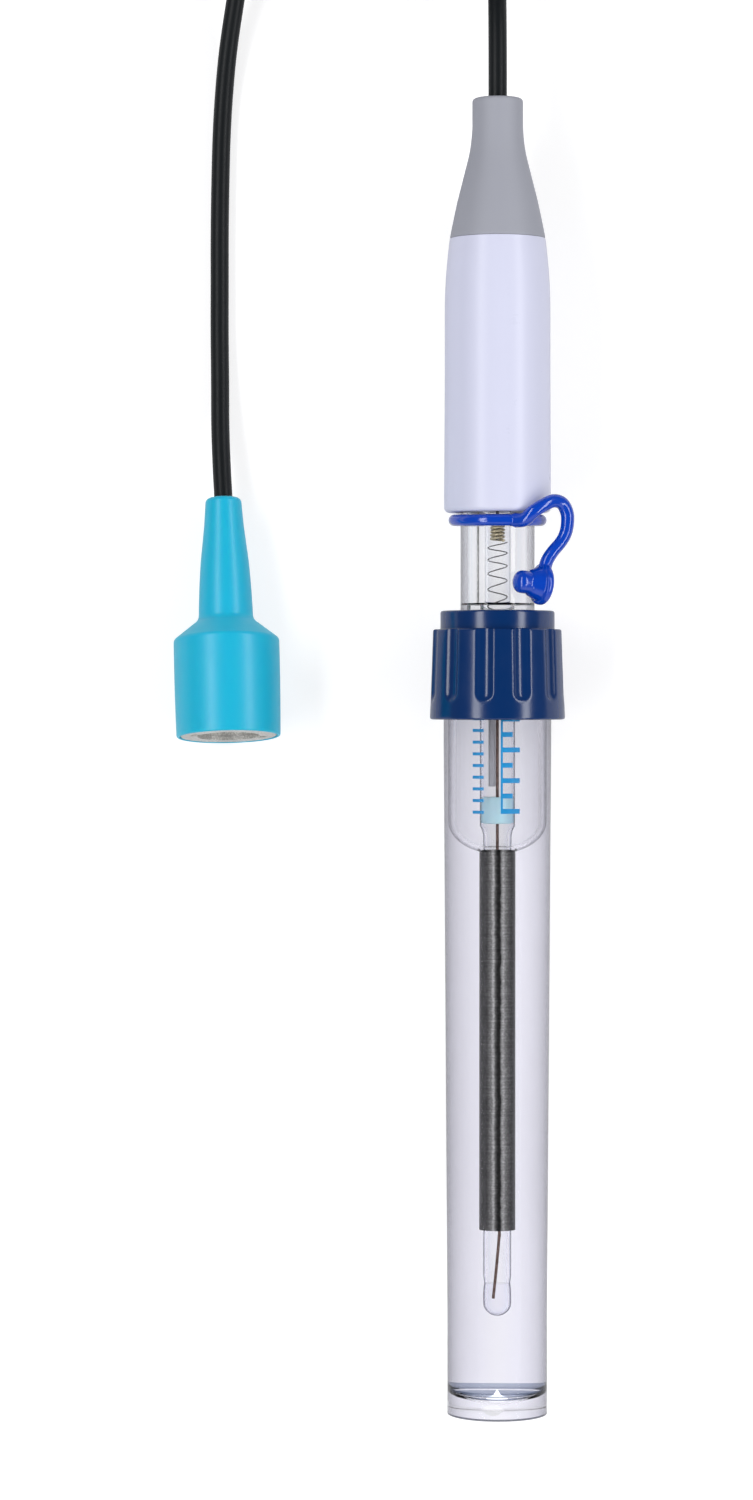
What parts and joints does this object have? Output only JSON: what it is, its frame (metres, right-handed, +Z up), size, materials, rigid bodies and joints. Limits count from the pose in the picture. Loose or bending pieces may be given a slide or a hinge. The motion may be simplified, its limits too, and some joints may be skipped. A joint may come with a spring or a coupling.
{
  "type": "pH electrode",
  "caption": "Glass pH electrode with a steel-sheathed stem in a screw-capped storage vial, a refill stopper and a booted bayonet plug on its cable.",
  "frame": {"origin": "on the surface the part lies on, under the middle of the box of the electrode and its vial, without the cable and plug", "axes": "+Y along the electrode from the vial's foot to the cable, +X to its right seen from above, +Z up; the electrode's axis leans by 1.46 degrees, head end up"},
  "size_m": [0.0648, 0.2801, 0.0219],
  "materials": {
    "shaft_glass": "clear, polished",
    "inner_glass": "clear, polished",
    "membrane_glass": "clear, thin blown glass",
    "vial_glass": "clear, polished",
    "sleeve_steel": "turned, fine rings",
    "junction_ceramic": "porous, off white",
    "dark_wire": "dull brownish grey wire",
    "grey_rod": "dull grey",
    "blue_gel": "soft, light blue",
    "silver_wire": "bright drawn wire",
    "gold_contact": "gold plated",
    "bung_rubber": "matt",
    "head_plastic": "satin, pale lavender white",
    "relief_plastic": "matt grey",
    "plated_metal": "nickel plated",
    "stopper_silicone": "satin blue",
    "cap_plastic": "satin navy",
    "seal_silicone": "milky, translucent",
    "washer_plastic": "matt white",
    "cable_sheath": "satin black",
    "tie_plastic": "matt black",
    "boot_rubber": "satin sky blue",
    "gasket_rubber": "matt red",
    "insulator_plastic": "waxy white"
  },
  "bodies": {
    "electrode": {"glass_shaft": "shaft_glass", "steel_sleeve": "sleeve_steel", "junction_ring": "junction_ceramic", "inner_tube": "inner_glass", "ph_membrane": "membrane_glass", "measuring_wire": "dark_wire", "reference_rod": "grey_rod", "blue_seal": "blue_gel", "helix_wire": "silver_wire", "contact_spring": "gold_contact", "signal_lead": "silver_wire", "reference_wire": "silver_wire", "shaft_bung": "bung_rubber", "head_shell": "head_plastic", "strain_relief": "relief_plastic", "cable_clamp": "plated_metal", "cable_upper": "cable_sheath", "cable_coil": "cable_sheath", "coil_tie": "tie_plastic", "cable_lower": "cable_sheath", "plug_body": "plated_metal", "plug_gasket": "gasket_rubber", "spring_washer": "plated_metal", "retaining_ring": "plated_metal", "plug_insulator": "insulator_plastic", "centre_pin": "gold_contact", "crimp_ferrule": "plated_metal"},
    "stopper": {"refill_stopper": "stopper_silicone"},
    "cap": {"screw_cap": "cap_plastic", "shaft_seal": "seal_silicone", "seal_washer": "washer_plastic"},
    "vial": {"vial": "vial_glass"},
    "coupling": {"coupling_sleeve": "plated_metal", "plug_boot": "boot_rubber"}
  },
  "joints": [
    {"name": "vial_slide", "type": "slide", "parent": "electrode", "child": "vial", "axis": [0, -0.9997, -0.0255], "range_m": [0, 0.115]},
    {"name": "cap_turn", "type": "hinge", "parent": "electrode", "child": "cap", "pos_m": [-0.0006, 0.0062, 0.01095], "axis": [0, 0.9997, 0.0255], "continuous": true},
    {"name": "stopper_swivel", "type": "hinge", "parent": "electrode", "child": "stopper", "pos_m": [-0.0006, 0.03849, 0.01177], "axis": [0, 0.9997, 0.0255], "continuous": true},
    {"name": "coupling_turn", "type": "hinge", "parent": "electrode", "child": "coupling", "pos_m": [-0.0442, 0.0034, 0.0103], "axis": [-0.026, 0.9932, -0.1132], "continuous": true}
  ]
}
